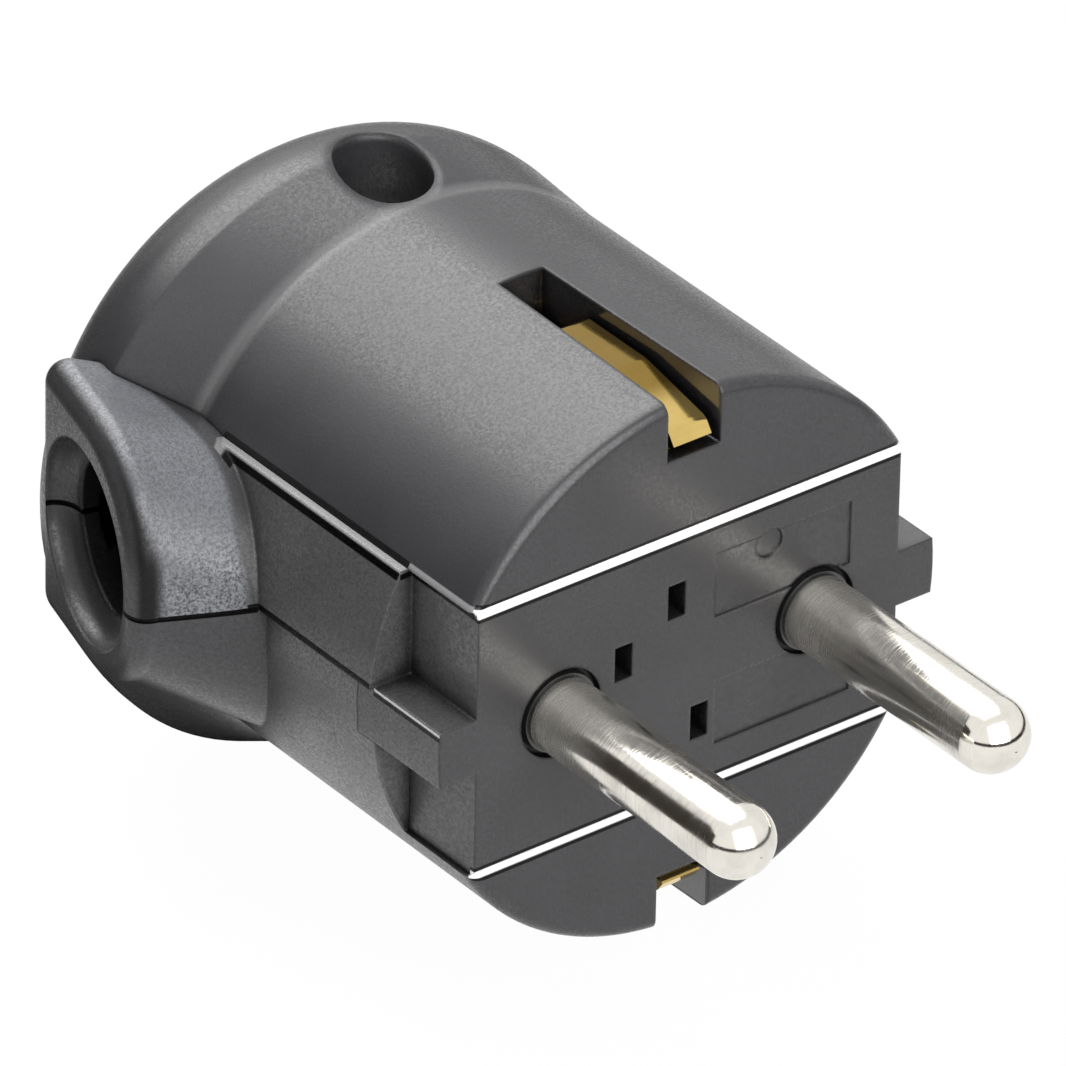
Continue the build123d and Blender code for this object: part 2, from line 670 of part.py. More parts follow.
with BuildPart() as clamp_screw_front:
    with BuildSketch(Plane.XY.offset(PART_Z + LUG_T)):
        with Locations(CLAMP_POINTS[0]):
            Circle(CLAMP_SCREW_R)
    extrude(amount=-(LUG_T + CLAMP_SCREW_L - CLAMP_END_GAP))
    with BuildSketch(Plane.XY.offset(PART_Z + LUG_T)):
        with Locations(CLAMP_POINTS[0]):
            Circle(CLAMP_HEAD_R)
    extrude(amount=CLAMP_HEAD_H)
    with BuildSketch(Plane.XY.offset(PART_Z + LUG_T + CLAMP_HEAD_H)):
        with Locations(CLAMP_POINTS[0]):
            Rectangle(2 * BLOCK_W, SLOT_CUT_W)
    extrude(amount=-SLOT_CUT_D, mode=Mode.SUBTRACT)
clamp_screw_front.part.label = "clamp_screw_front"
export_step(clamp_screw_front.part, "parts/clamp_screw_front.step")

with BuildPart() as clamp_screw_rear:
    add(clamp_screw_front.part.moved(Location((2 * CLAMP_HALF * sin(TILT), 2 * CLAMP_HALF * cos(TILT), 0))))
clamp_screw_rear.part.label = "clamp_screw_rear"
export_step(clamp_screw_rear.part, "parts/clamp_screw_rear.step")

# Housing screw and its threaded insert
with BuildPart() as housing_screw:
    with BuildSketch(Plane.XY.offset(RECESS_FLOOR)):
        with Locations((0, SCREW_Y)):
            Circle(SCREW_R)
    extrude(amount=-(RECESS_FLOOR - PART_Z + INSERT_L))
    with BuildSketch(Plane.XY.offset(RECESS_FLOOR)):
        with Locations((0, SCREW_Y)):
            Circle(SCREW_HEAD_R)
    extrude(amount=SCREW_HEAD_H)
    fillet(housing_screw.edges().filter_by(GeomType.CIRCLE).group_by(Axis.Z)[-1], SCREW_HEAD_ROUND)
    with BuildSketch(Plane.XY.offset(RECESS_FLOOR + SCREW_HEAD_H)):
        with Locations((0, SCREW_Y)):
            Rectangle(CROSS_L, SLOT_CUT_W)
            Rectangle(SLOT_CUT_W, CROSS_L)
    extrude(amount=-CROSS_D, mode=Mode.SUBTRACT)
housing_screw.part.label = "housing_screw"
export_step(housing_screw.part, "parts/housing_screw.step")

with BuildPart() as housing_insert:
    with BuildSketch(Plane.XY.offset(PART_Z)):
        with Locations((0, SCREW_Y)):
            Circle(INSERT_R)
            Circle(SCREW_R, mode=Mode.SUBTRACT)
    extrude(amount=-INSERT_L)
housing_insert.part.label = "housing_insert"
export_step(housing_insert.part, "parts/housing_insert.step")
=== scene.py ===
"""Looks of an angled earthed mains plug: charcoal mouldings, nickel pins, brass strips and plated screws.

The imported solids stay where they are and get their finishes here. The screws are rebuilt with cut
threads on the places that their solids hold.
"""

import logging
import math
from dataclasses import dataclass, field
from enum import Enum
from typing import Dict, List, Sequence, Tuple, Union

import bmesh
import bpy
from mathutils import Matrix, Vector

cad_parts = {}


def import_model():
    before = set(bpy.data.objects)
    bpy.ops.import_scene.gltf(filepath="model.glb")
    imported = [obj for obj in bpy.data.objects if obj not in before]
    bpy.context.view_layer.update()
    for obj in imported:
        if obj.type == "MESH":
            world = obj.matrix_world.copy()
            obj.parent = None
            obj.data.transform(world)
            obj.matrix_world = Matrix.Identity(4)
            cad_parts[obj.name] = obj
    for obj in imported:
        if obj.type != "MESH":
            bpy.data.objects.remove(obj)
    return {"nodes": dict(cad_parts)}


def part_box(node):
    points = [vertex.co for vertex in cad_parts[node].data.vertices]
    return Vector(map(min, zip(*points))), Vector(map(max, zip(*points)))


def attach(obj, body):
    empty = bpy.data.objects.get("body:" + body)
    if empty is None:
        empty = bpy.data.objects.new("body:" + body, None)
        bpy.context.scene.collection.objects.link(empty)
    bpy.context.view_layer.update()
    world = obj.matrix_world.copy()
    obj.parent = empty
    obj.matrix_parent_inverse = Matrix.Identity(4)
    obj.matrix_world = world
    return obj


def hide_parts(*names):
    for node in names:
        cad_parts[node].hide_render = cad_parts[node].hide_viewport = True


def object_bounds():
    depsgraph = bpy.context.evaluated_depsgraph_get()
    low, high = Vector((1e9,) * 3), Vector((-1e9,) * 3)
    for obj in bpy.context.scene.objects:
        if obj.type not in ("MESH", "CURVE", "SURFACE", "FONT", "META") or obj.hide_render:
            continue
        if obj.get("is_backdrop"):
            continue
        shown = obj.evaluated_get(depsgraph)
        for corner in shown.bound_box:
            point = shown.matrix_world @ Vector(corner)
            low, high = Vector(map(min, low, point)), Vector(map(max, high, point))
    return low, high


LOG = logging.getLogger("plug")
Rgb = Tuple[float, float, float]
Point = Tuple[float, float, float]
Span = Tuple[float, float]
Socket = bpy.types.NodeSocket
MM = 0.001
BODY = "root"


class Kind(Enum):
    """Socket kinds of a node group's interface."""

    VALUE = "NodeSocketFloat"
    COUNT = "NodeSocketInt"
    VECTOR = "NodeSocketVector"
    MATERIAL = "NodeSocketMaterial"
    SHAPE = "NodeSocketGeometry"


class Shade(Enum):
    """Whether a line along a joint is a painted highlight where an edge catches the light, or dark: a
    dark gap at a joint, or painted shade beside and under ledges.
    """

    LIGHT = "light"
    DARK = "dark"


class Tree:
    """Short calls for building a node tree."""

    def __init__(self, tree: bpy.types.NodeTree) -> None:
        """Keep the tree that the calls add to."""
        self.tree = tree

    def node(self, kind: str, **settings: object) -> bpy.types.Node:
        """Add a node.

        Args:
            kind: Blender's type name of the node.
            settings: attributes to set on it.

        Returns:
            The new node.
        """
        made = self.tree.nodes.new(kind)
        for name, value in settings.items():
            setattr(made, name, value)
        return made

    def feed(self, socket: Socket, value: object) -> None:
        """Link a socket to another socket's output, or set it to a plain value.

        Args:
            socket: the input to feed.
            value: an output socket or a plain value.
        """
        if isinstance(value, Socket):
            self.tree.links.new(value, socket)
        else:
            socket.default_value = value

    def fill(self, made: bpy.types.Node, **values: object) -> bpy.types.Node:
        """Feed a node's inputs by name.

        Args:
            made: the node.
            values: its inputs, with underscores for spaces.

        Returns:
            The same node.
        """
        for name, value in values.items():
            self.feed(made.inputs[name.replace("_", " ")], value)
        return made

    def math(self, operation: str, *values: object, clamp: bool = False) -> Socket:
        """Add a Math node.

        Args:
            operation: Blender's name of the operation.
            values: its inputs, sockets or numbers.
            clamp: whether the result is held between 0 and 1.

        Returns:
            Its output socket.
        """
        made = self.node("ShaderNodeMath", operation=operation, use_clamp=clamp)
        for socket, value in zip(made.inputs, values):
            self.feed(socket, value)
        return made.outputs[0]

    def product(self, *values: object) -> Socket:
        """Multiply several values.

        Args:
            values: sockets or numbers, the first one a socket.

        Returns:
            The result's socket.
        """
        result = values[0]
        for value in values[1:]:
            result = self.math("MULTIPLY", result, value)
        return result

    def ramp(
        self, value: object, low: object, high: object, start: float = 0.0, end: float = 1.0
    ) -> Socket:
        """Map a value smoothly from one range to another, held at both ends.

        Args:
            value: the socket to map.
            low: where the range starts.
            high: where it ends.
            start: the result at the start.
            end: the result at the end.

        Returns:
            The mapped value's socket.
        """
        made = self.node("ShaderNodeMapRange", interpolation_type="SMOOTHSTEP")
        for socket, item in zip(made.inputs, (value, low, high, start, end)):
            self.feed(socket, item)
        return made.outputs[0]

    def mix(self, factor: object, first: object, second: object) -> Socket:
        """Mix two colours.

        Args:
            factor: the share of the second colour.
            first: the first colour.
            second: the second colour.

        Returns:
            The mixed colour's socket.
        """
        made = self.node("ShaderNodeMix", data_type="RGBA")
        self.feed(made.inputs[0], factor)
        self.feed(made.inputs[6], first)
        self.feed(made.inputs[7], second)
        return made.outputs[2]

    def noise(self, vector: object, scale: object, detail: float = 2.0, roughness: float = 0.5) -> Socket:
        """Add a noise texture.

        Args:
            vector: the coordinates.
            scale: how fine it is.
            detail: its octaves.
            roughness: the strength of the finer octaves.

        Returns:
            Its value's socket.
        """
        made = self.node("ShaderNodeTexNoise")
        self.fill(made, Vector=vector, Scale=scale, Detail=detail, Roughness=roughness)
        return made.outputs["Fac"]

    def stretch(self, vector: Socket, scale: Point) -> Socket:
        """Scale a vector along each axis.

        Args:
            vector: the vector's socket.
            scale: the three factors.

        Returns:
            The scaled vector's socket.
        """
        made = self.node("ShaderNodeVectorMath", operation="MULTIPLY")
        self.feed(made.inputs[0], vector)
        made.inputs[1].default_value = scale
        return made.outputs[0]

    def split(self, vector: Socket) -> Sequence[Socket]:
        """Take a vector apart.

        Args:
            vector: the vector's socket.

        Returns:
            The sockets of its three parts.
        """
        made = self.node("ShaderNodeSeparateXYZ")
        self.feed(made.inputs[0], vector)
        return made.outputs

    def group(self, group: bpy.types.NodeTree, **values: object) -> Dict[str, Socket]:
        """Place a shader group and feed its inputs by name.

        Args:
            group: the group's tree.
            values: its inputs, with underscores for spaces.

        Returns:
            The group's outputs by name.
        """
        made = self.fill(self.node("ShaderNodeGroup", node_tree=group), **values)
        return {out.name: out for out in made.outputs}


def start_group(
    name: str, kind: str, inputs: Dict[str, Kind], outputs: Dict[str, Kind]
) -> Tuple[Tree, Dict[str, Socket], Dict[str, Socket]]:
    """Make an empty node group with its interface.

    Args:
        name: the group's name.
        kind: Blender's type name of the tree.
        inputs: input names and kinds.
        outputs: output names and kinds.

    Returns:
        The group's tree, its input sockets and its output sockets, by name.
    """
    group = bpy.data.node_groups.new(name, kind)
    for label, sort in inputs.items():
        group.interface.new_socket(label, in_out="INPUT", socket_type=sort.value)
    for label, sort in outputs.items():
        group.interface.new_socket(label, in_out="OUTPUT", socket_type=sort.value)
    tree = Tree(group)
    enter = tree.node("NodeGroupInput")
    leave = tree.node("NodeGroupOutput")
    sources = {socket.name: socket for socket in enter.outputs if socket.name}
    targets = {socket.name: socket for socket in leave.inputs if socket.name}
    return tree, sources, targets


def rgba(colour: Rgb) -> Tuple[float, float, float, float]:
    """Return a colour with full alpha."""
    return (*colour, 1.0)


class ShaderGroups:
    """Effects that several finishes share, each built once as a node group."""

    fine_share: float = 0.6
    coarse_scale: float = 0.6
    pit_range: Span = (0.35, 0.65)
    cloud_scale: float = 170.0
    cloud_range: Span = (0.3, 0.7)
    ring_stretch: Point = (90.0, 7500.0, 90.0)
    streak_stretch: Point = (2400.0, 160.0, 2400.0)
    mark_range: Span = (0.3, 0.7)
    dull_scale: float = 420.0
    dull_range: Span = (0.35, 0.7)
    dull_loss: float = 0.5
    ring_loss: float = 0.4

    def __init__(self) -> None:
        """Build every group."""
        self.grain = self._grain()
        self.line = self._line()
        self.polish = self._polish()

    def _grain(self) -> bpy.types.NodeTree:
        """Build the spark-eroded grain of a moulding: pits, specks of gloss and a slow cloudiness.

        Returns:
            The group's tree.
        """
        tree, enter, leave = start_group(
            "moulded_grain",
            "ShaderNodeTree",
            {"Vector": Kind.VECTOR, "Size": Kind.VALUE, "Speck": Kind.VALUE, "Cloud": Kind.VALUE},
            {"Tone": Kind.VALUE, "Height": Kind.VALUE, "Gloss": Kind.VALUE},
        )
        scale = tree.math("DIVIDE", 1.0, enter["Size"])
        fine = tree.noise(enter["Vector"], scale, 2.0, 0.6)
        coarse = tree.noise(enter["Vector"], tree.product(scale, self.coarse_scale), 1.0, 0.5)
        slow = tree.noise(enter["Vector"], self.cloud_scale, 3.0, 0.55)
        rest = 1.0 - self.fine_share
        pits = tree.math("ADD", tree.product(fine, self.fine_share), tree.product(coarse, rest))
        speck = tree.product(tree.ramp(pits, *self.pit_range, -1.0, 1.0), enter["Speck"])
        cloud = tree.product(tree.ramp(slow, *self.cloud_range, -1.0, 1.0), enter["Cloud"])
        tree.feed(leave["Tone"], tree.math("ADD", tree.math("ADD", speck, cloud), 1.0))
        tree.feed(leave["Height"], pits)
        tree.feed(leave["Gloss"], speck)
        return tree.tree

    @staticmethod
    def _line() -> bpy.types.NodeTree:
        """Build the mask of a narrow band at one height, within a range of depths and of widths.

        Returns:
            The group's tree.
        """
        tree, enter, leave = start_group(
            "joint_line",
            "ShaderNodeTree",
            {
                "Vector": Kind.VECTOR,
                "Level": Kind.VALUE,
                "Half": Kind.VALUE,
                "Front": Kind.VALUE,
                "Back": Kind.VALUE,
                "Inner": Kind.VALUE,
                "Outer": Kind.VALUE,
                "Soft": Kind.VALUE,
            },
            {"Mask": Kind.VALUE},
        )
        across, depth, height = tree.split(enter["Vector"])

        def window(value: Socket, low: Socket, high: Socket) -> Socket:
            """Mark a range of values.

            Args:
                value: the value's socket.
                low: where the range starts.
                high: where it ends.

            Returns:
                A mask that is 1 in the range, with soft ends.
            """
            rise = tree.ramp(value, tree.math("SUBTRACT", low, enter["Soft"]), low)
            fall = tree.ramp(value, high, tree.math("ADD", high, enter["Soft"]), 1.0, 0.0)
            return tree.product(rise, fall)

        away = tree.math("ABSOLUTE", tree.math("SUBTRACT", height, enter["Level"]))
        band = tree.ramp(away, enter["Half"], tree.math("ADD", enter["Half"], enter["Soft"]), 1.0, 0.0)
        along = window(depth, enter["Front"], enter["Back"])
        aside = window(tree.math("ABSOLUTE", across), enter["Inner"], enter["Outer"])
        tree.feed(leave["Mask"], tree.product(band, along, aside))
        return tree.tree

    def _polish(self) -> bpy.types.NodeTree:
        """Build the marks of a turned and plated metal: fine rings, drawn streaks and dull clouds.

        Returns:
            The group's tree.
        """
        tree, enter, leave = start_group(
            "turned_metal",
            "ShaderNodeTree",
            {"Vector": Kind.VECTOR, "Rings": Kind.VALUE, "Streak": Kind.VALUE, "Cloud": Kind.VALUE},
            {"Tone": Kind.VALUE, "Height": Kind.VALUE, "Dull": Kind.VALUE},
        )
        rings = tree.noise(tree.stretch(enter["Vector"], self.ring_stretch), 1.0, 2.0, 0.6)
        streaks = tree.noise(tree.stretch(enter["Vector"], self.streak_stretch), 1.0, 2.0, 0.6)
        clouds = tree.noise(enter["Vector"], self.dull_scale, 3.0, 0.6)
        ring_part = tree.product(tree.ramp(rings, *self.mark_range, -1.0, 1.0), enter["Rings"])
        streak_part = tree.product(tree.ramp(streaks, *self.mark_range, -1.0, 1.0), enter["Streak"])
        cloud_part = tree.product(tree.ramp(clouds, *self.dull_range), enter["Cloud"])
        tree.feed(leave["Height"], tree.math("ADD", ring_part, streak_part))
        groove = tree.math("ABSOLUTE", ring_part)
        loss = tree.math(
            "ADD", tree.product(cloud_part, self.dull_loss), tree.product(groove, self.ring_loss)
        )
        tree.feed(leave["Tone"], tree.math("SUBTRACT", 1.0, loss, clamp=True))
        tree.feed(leave["Dull"], tree.math("ADD", cloud_part, groove))
        return tree.tree


@dataclass(frozen=True)
class JointLine:
    """A narrow band along a joint of the mouldings, in millimetres, the same on both sides: a painted
    highlight, painted shade or a dark gap.
    """

    level: float
    half: float
    depth: Span
    aside: Span
    shade: Shade
    share: float = 1.0
    soft: float = 0.08

    def mask(self, tree: Tree, groups: ShaderGroups, place: Socket) -> Socket:
        """Place the line in a material.

        Args:
            tree: the material's tree.
            groups: the shared shader groups.
            place: the surface's coordinates.

        Returns:
            The socket of its mask, as strong as its share.
        """
        made = tree.group(
            groups.line,
            Vector=place,
            Level=self.level * MM,
            Half=self.half * MM,
            Front=self.depth[0] * MM,
            Back=self.depth[1] * MM,
            Inner=self.aside[0] * MM,
            Outer=self.aside[1] * MM,
            Soft=self.soft * MM,
        )
        return tree.product(made["Mask"], self.share)


@dataclass(frozen=True)
class CollarZone:
    """Where the cord collar lies, along its own axis, and which of its surfaces get painted light,
    painted shade, a painted dark reflection or a coarser grain.
    """

    tilt: float = 15.0
    rim: float = 30.197 * MM
    side: float = 20.896 * MM
    height: float = 2.7 * MM
    band: Span = (0.2 * MM, 1.7 * MM)
    band_top: float = 0.9 * MM
    mouth: float = 6.7 * MM
    root: Span = (18.95 * MM, 19.7 * MM)
    parting: float = 1.9 * MM
    parting_soft: float = 0.125 * MM
    coarse_top: Span = (3.4 * MM, 6.4 * MM)
    shoulder: Span = (5.0 * MM, 10.5 * MM)
    shoulder_back: float = 1.7 * MM
    bore: Span = (4.6 * MM, 5.6 * MM)
    bore_end: float = 20.0 * MM
    soft: float = 0.5 * MM

    def masks(self, tree: Tree, place: Socket) -> Dict[str, Socket]:
        """Place the zones in a material.

        Args:
            tree: the material's tree.
            place: the surface's coordinates.

        Returns:
            Masks by name: the rim's rounded edge, which gets a painted dark reflection, the wall above
                the
            parting line, which gets painted light, the wall's coarse part and the bore, which gets
            painted shade.
        """
        across, depth, height = tree.split(place)
        turn = math.radians(self.tilt)
        sine, cosine = math.sin(turn), math.cos(turn)
        out = tree.math("SUBTRACT", tree.product(depth, sine), tree.product(across, cosine))
        inward = tree.math("SUBTRACT", self.rim, out)
        aside = tree.math("ADD", tree.product(across, sine), tree.product(depth, cosine))
        span = tree.node("ShaderNodeCombineXYZ")
        tree.feed(span.inputs["X"], tree.math("SUBTRACT", aside, self.side))
        tree.feed(span.inputs["Y"], tree.math("SUBTRACT", height, self.height))
        length = tree.node("ShaderNodeVectorMath", operation="LENGTH")
        tree.feed(length.inputs[0], span.outputs[0])
        radius = length.outputs["Value"]
        outside = tree.ramp(radius, self.mouth, self.mouth + self.soft)
        first, last = self.band
        end = tree.ramp(height, *self.shoulder, last, self.band_top)
        rise = tree.ramp(inward, first, first + self.soft)
        past = tree.ramp(tree.math("SUBTRACT", inward, end), -self.soft, self.soft)
        above = tree.ramp(height, self.parting, self.parting + self.parting_soft)
        back = tree.ramp(height, *self.shoulder, 0.0, self.shoulder_back)
        clear = tree.ramp(tree.math("SUBTRACT", back, across), *self.root)
        before = tree.math("LESS_THAN", inward, self.bore_end)
        within = tree.product(tree.ramp(inward, 0.0, self.soft), before)
        wall = tree.product(past, outside, above, clear)
        return {
            "edge": tree.product(rise, tree.math("SUBTRACT", 1.0, past), outside, above),
            "wall": wall,
            "coarse": tree.product(wall, tree.ramp(height, *self.coarse_top, 1.0, 0.0)),
            "bore": tree.product(within, tree.ramp(radius, *self.bore, 1.0, 0.0)),
        }


@dataclass(frozen=True)
class MouldedFinish:
    """A charcoal moulding: fine grain, painted highlights, dark gaps and painted shade along its joints,
    painted shade in nooks, bore and recess, painted light on side panels, notches and collar wall,
    softened edges and smooth slot walls.
    """

    name: str
    colour: Rgb
    lines: Sequence[JointLine]
    # Where painted light lies: a paler colour on side panels and notch walls.
    notch: Tuple[Span, Span]
    notch_fade: float
    notch_light_colour: Rgb
    # Colour of the painted highlights along joints.
    highlight_colour: Rgb = (0.86, 0.86, 0.87)
    # Colour of the dark gaps and of the painted shade.
    gap_and_shade_colour: Rgb = (0.002, 0.002, 0.002)
    roughness: float = 0.36
    gloss: float = 0.5
    grain_size: float = 0.14 * MM
    grain_bump: float = 0.011 * MM
    speck: float = 0.32
    speck_gloss: float = 0.30
    cloud: float = 0.08
    face_depth: Span = (0.25 * MM, 0.6 * MM)
    face_smooth: float = 0.08
    face_grain: float = 0.35
    edge_radius: float = 0.30 * MM
    slot_half: float = 2.05 * MM
    slot_floor: float = 13.6 * MM
    slot_top: float = 18.25 * MM
    slot_start: float = 0.3 * MM
    slot_end: float = 17.2 * MM
    slot_smooth: float = 0.28
    slot_coat: float = 1.0
    coat_rough: float = 0.04
    collar: CollarZone = CollarZone()
    # Painted light: a paler colour on the collar wall above the parting line, standing in for the front
    # light's sheen.
    wall_light_colour: Rgb = (0.102, 0.106, 0.115)
    # Shares of the painted dark reflection on the collar's rim edge and of the painted shade in its bore.
    edge_dark_share: float = 0.70
    bore_shade_share: float = 0.62
    coarse_gain: float = 1.4
    notch_side: Span = (15.66 * MM, 18.95 * MM)
    notch_foot: float = 0.05 * MM
    recess: Point = (0.0, 30.3 * MM, 0.0)
    recess_floor: float = 11.0 * MM
    recess_wall: float = 3.05 * MM
    recess_rim: Span = (3.7 * MM, 4.6 * MM)
    recess_round: float = 0.7 * MM
    # Share of the painted shade on the recess wall.
    recess_shade_share: float = 0.55
    # Painted shade in nooks, from ambient occlusion.
    nook_reach: float = 1.6 * MM
    nook: Span = (0.42, 0.86)
    nook_shade_share: float = 0.62
    samples: int = 6

    def material(self, groups: ShaderGroups) -> bpy.types.Material:
        """Build the finish.

        Args:
            groups: the shared shader groups.

        Returns:
            The material.
        """
        made = bpy.data.materials.new(self.name)
        made.use_nodes = True
        tree = Tree(made.node_tree)
        shader = made.node_tree.nodes["Principled BSDF"]
        shader.inputs["Specular IOR Level"].default_value = self.gloss
        place = tree.node("ShaderNodeTexCoord").outputs["Object"]
        across, depth, height = tree.split(place)
        zones = self.collar.masks(tree, place)
        gain = tree.math("ADD", tree.product(zones["coarse"], self.coarse_gain), 1.0)
        grain = tree.group(
            groups.grain,
            Vector=place,
            Size=self.grain_size,
            Speck=tree.product(gain, self.speck),
            Cloud=self.cloud,
        )

        # Painted highlights along joints.
        light = self._strongest(tree, groups, place, Shade.LIGHT)
        # Dark gaps and painted shade along joints, gathered with the other painted shade below.
        dark = self._strongest(tree, groups, place, Shade.DARK)
        # Painted dark reflection on the collar's rim edge and painted shade in its bore.
        dark = tree.math("MAXIMUM", dark, tree.product(zones["edge"], self.edge_dark_share))
        dark = tree.math("MAXIMUM", dark, tree.product(zones["bore"], self.bore_shade_share))
        # Painted shade in nooks.
        nook = tree.product(self._nook_shade(tree), tree.math("SUBTRACT", 1.0, light))
        dark = tree.math("MAXIMUM", dark, nook)
        # Painted shade on the screw recess's wall.
        rim, recess_shade = self._recess(tree, place, height)
        dark = tree.math("MAXIMUM", dark, tree.product(recess_shade, self.recess_shade_share))
        # Painted light: a paler colour on notches and side panels.
        notch = self._notch_light(tree, across, depth, height)
        plain = tree.mix(notch, rgba(self.colour), rgba(self.notch_light_colour))
        # Painted light on the collar wall.
        plain = tree.mix(zones["wall"], plain, rgba(self.wall_light_colour))
        charcoal = tree.node("ShaderNodeVectorMath", operation="SCALE")
        tree.feed(charcoal.inputs[0], plain)
        tree.feed(charcoal.inputs["Scale"], grain["Tone"])
        # Painted highlights mixed into the colour, then dark gaps and painted shade; the shaded part also
        # turns metallic.
        highlighted = tree.mix(light, charcoal.outputs[0], rgba(self.highlight_colour))
        tree.feed(shader.inputs["Base Color"], tree.mix(dark, highlighted, rgba(self.gap_and_shade_colour)))
        tree.feed(shader.inputs["Metallic"], dark)

        on_face = tree.ramp(depth, *self.face_depth, 1.0, 0.0)
        slot = self._slot(tree, across, depth, height)
        shader.inputs["Coat Roughness"].default_value = self.coat_rough
        tree.feed(shader.inputs["Coat Weight"], tree.product(slot, self.slot_coat))
        smooth = tree.math(
            "ADD", tree.product(on_face, self.face_smooth), tree.product(slot, self.slot_smooth)
        )
        uneven = tree.math("ADD", smooth, tree.product(grain["Gloss"], self.speck_gloss))
        tree.feed(shader.inputs["Roughness"], tree.math("SUBTRACT", self.roughness, uneven, clamp=True))

        edge = tree.node("ShaderNodeBevel", samples=self.samples)
        rounding = tree.math("ADD", tree.product(rim, self.recess_round), self.edge_radius)
        tree.feed(edge.inputs["Radius"], rounding)
        bump = tree.node("ShaderNodeBump")
        pits = tree.product(grain["Height"], tree.ramp(on_face, 0.0, 1.0, 1.0, self.face_grain))
        tree.fill(bump, Distance=self.grain_bump, Height=pits, Normal=edge.outputs[0])
        tree.feed(shader.inputs["Normal"], bump.outputs[0])
        return made

    def _nook_shade(self, tree: Tree) -> Socket:
        """Find the nooks, which get painted shade from ambient occlusion.

        Args:
            tree: the material's tree.

        Returns:
            The socket of their mask.
        """
        closed = tree.node("ShaderNodeAmbientOcclusion", samples=self.samples)
        closed.inputs["Distance"].default_value = self.nook_reach
        return tree.product(tree.ramp(closed.outputs["AO"], *self.nook, 1.0, 0.0), self.nook_shade_share)

    def _recess(self, tree: Tree, place: Socket, height: Socket) -> Tuple[Socket, Socket]:
        """Find the screw recess, with its rounded rim and its wall, which gets painted shade.

        Args:
            tree: the material's tree.
            place: the surface's coordinates.
            height: their upward part.

        Returns:
            The sockets of the rim's mask and of the mask of the wall's painted shade.
        """
        level = tree.stretch(place, (1.0, 1.0, 0.0))
        apart = tree.node("ShaderNodeVectorMath", operation="DISTANCE")
        tree.feed(apart.inputs[0], level)
        apart.inputs[1].default_value = self.recess
        away = apart.outputs["Value"]
        above = tree.math("GREATER_THAN", height, self.recess_floor)
        rim = tree.product(tree.ramp(away, *self.recess_rim, 1.0, 0.0), above)
        return rim, tree.product(tree.math("LESS_THAN", away, self.recess_wall), above)

    def _notch_light(self, tree: Tree, across: Socket, depth: Socket, height: Socket) -> Socket:
        """Find the side panels and the walls of the guide notches, which get painted light: a paler
        colour.

        Args:
            tree: the material's tree.
            across: the sideways part of the surface's coordinates.
            depth: their part along the pins.
            height: their upward part.

        Returns:
            The socket of their mask.
        """
        (front, back), (low, high) = self.notch
        aside = tree.math("ABSOLUTE", across)
        bounds = (
            tree.math("GREATER_THAN", aside, self.notch_side[0]),
            tree.math("LESS_THAN", aside, self.notch_side[1]),
            tree.math("GREATER_THAN", depth, front),
            tree.ramp(depth, back - self.notch_fade, back, 1.0, 0.0),
            tree.ramp(height, low, low + self.notch_foot),
            tree.math("LESS_THAN", height, high),
        )
        return tree.product(*bounds)

    def _slot(self, tree: Tree, across: Socket, depth: Socket, height: Socket) -> Socket:
        """Find the walls of the earth slots, which are smooth and glossy.

        Args:
            tree: the material's tree.
            across: the sideways part of the surface's coordinates.
            depth: their part along the pins.
            height: their upward part.

        Returns:
            The socket of their mask.
        """
        level = tree.math("ABSOLUTE", height)
        beside = tree.math("LESS_THAN", tree.math("ABSOLUTE", across), self.slot_half)
        above = tree.math("GREATER_THAN", level, self.slot_floor)
        below = tree.math("LESS_THAN", level, self.slot_top)
        past = tree.math("GREATER_THAN", depth, self.slot_start)
        before = tree.math("LESS_THAN", depth, self.slot_end)
        return tree.product(beside, above, below, past, before)

    def _strongest(self, tree: Tree, groups: ShaderGroups, place: Socket, shade: Shade) -> Socket:
        """Join the lines of one shade.

        Args:
            tree: the material's tree.
            groups: the shared shader groups.
            place: the surface's coordinates.
            shade: the lines' shade.

        Returns:
            The socket of the strongest of their masks.
        """
        result = None
        for line in self.lines:
            if line.shade is shade:
                mask = line.mask(tree, groups, place)
                result = mask if result is None else tree.math("MAXIMUM", result, mask)
        return result


